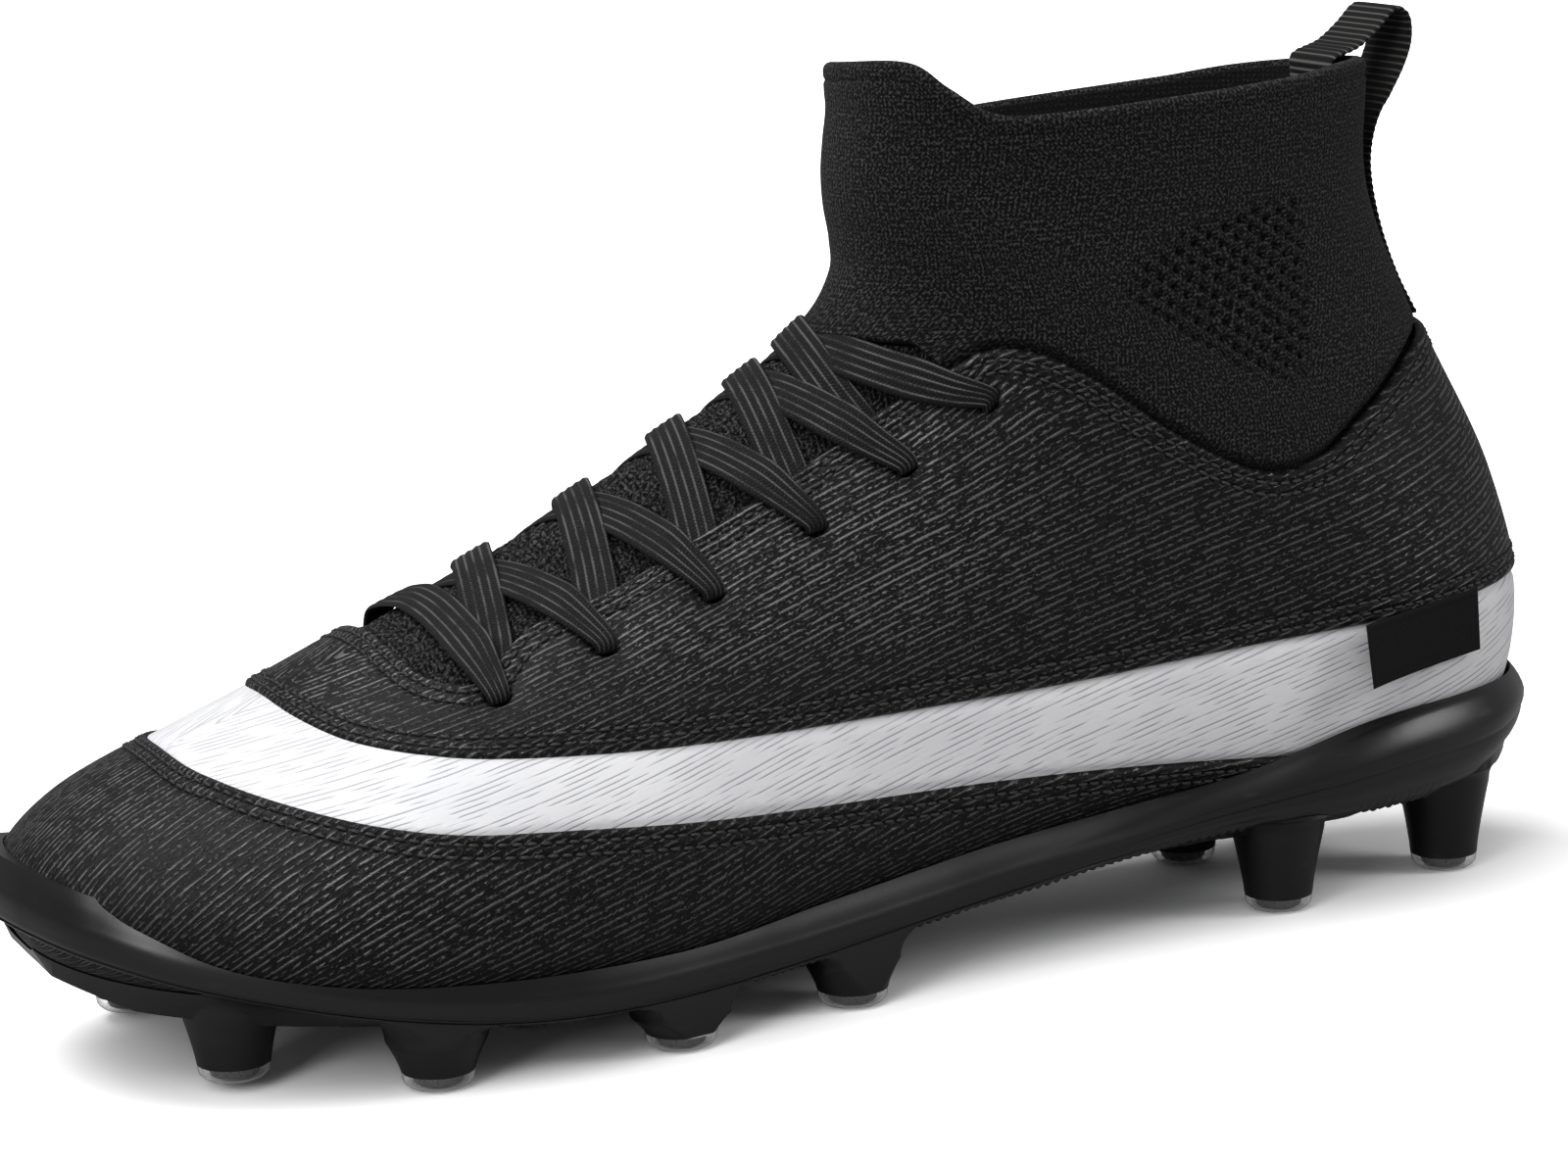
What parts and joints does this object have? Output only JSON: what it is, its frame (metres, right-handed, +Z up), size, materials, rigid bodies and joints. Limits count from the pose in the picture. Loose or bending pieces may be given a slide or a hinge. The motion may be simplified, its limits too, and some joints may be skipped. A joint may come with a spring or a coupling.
{
  "type": "soccer cleat",
  "caption": "High-top soccer cleat with a knitted sock collar, laced synthetic panels, a contrast side band and a studded moulded plate.",
  "frame": {"origin": "on the ground under the middle of the shoe's box; the stud tips stand on z = 0", "axes": "+X towards the heel, -X towards the toe, -Y the outer side of a left shoe, +Y the inner side, +Z up"},
  "size_m": [0.3, 0.096, 0.1635],
  "materials": {
    "moulded_plate": "smooth semi-gloss moulded black",
    "clear_tip": "clear polished tip",
    "insole_board": "pressed fibre board",
    "sockliner": "knit top cloth on foam",
    "lining": "matt brushed lining",
    "stiffener": "matt thermoplastic sheet",
    "foam": "open-cell foam",
    "black_synthetic": "fine diagonal ribs, satin",
    "white_synthetic": "fine diagonal ribs, satin",
    "open_knit": "coarse openwork knit",
    "fine_knit": "fine stretch knit",
    "lace_weave": "flat woven with lengthwise ribs",
    "lace_tip": "smooth film",
    "ribbed_webbing": "cross-ribbed webbing",
    "label": "plain woven label, no text"
  },
  "bodies": {
    "boot": {"outsole_plate": "moulded_plate", "stud_tip_outer_toe": "clear_tip", "stud_tip_outer_front": "clear_tip", "stud_tip_outer_ball": "clear_tip", "stud_tip_outer_waist": "clear_tip", "stud_tip_inner_toe": "clear_tip", "stud_tip_inner_front": "clear_tip", "stud_tip_inner_ball": "clear_tip", "stud_tip_inner_waist": "clear_tip", "stud_tip_centre": "clear_tip", "stud_tip_outer_heel_front": "clear_tip", "stud_tip_outer_heel_rear": "clear_tip", "stud_tip_inner_heel_front": "clear_tip", "stud_tip_inner_heel_rear": "clear_tip", "insole_board": "insole_board", "bootie_lining": "lining", "heel_counter": "stiffener", "toe_puff": "stiffener", "ankle_foam": "foam", "toe_panel": "black_synthetic", "side_band": "white_synthetic", "quarter_panel": "black_synthetic", "throat_knit": "open_knit", "sock_collar": "fine_knit", "lace": "lace_weave", "lace_tip_outer": "lace_tip", "lace_tip_inner": "lace_tip", "pull_loop_end_inside": "ribbed_webbing", "pull_loop_end_outside": "ribbed_webbing"},
    "pull_loop": {"pull_loop": "ribbed_webbing"},
    "side_label": {"side_label": "label"},
    "sockliner": {"sockliner": "sockliner"}
  },
  "joints": [
    {"name": "pull_loop_bend", "type": "hinge", "parent": "boot", "child": "pull_loop", "pos_m": [0.1086, 0.00151, 0.1539], "axis": [0, 1, 0], "range_deg": [-60, 0]},
    {"name": "side_label_flap", "type": "hinge", "parent": "boot", "child": "side_label", "pos_m": [0.0945, -0.0376, 0.056], "axis": [-0.962, -0.2663, -0.06], "range_deg": [0, 90]},
    {"name": "sockliner_lift", "type": "hinge", "parent": "boot", "child": "sockliner", "pos_m": [-0.131, 0.00651, 0.0215], "axis": [0, -1, 0], "range_deg": [0, 10]}
  ]
}
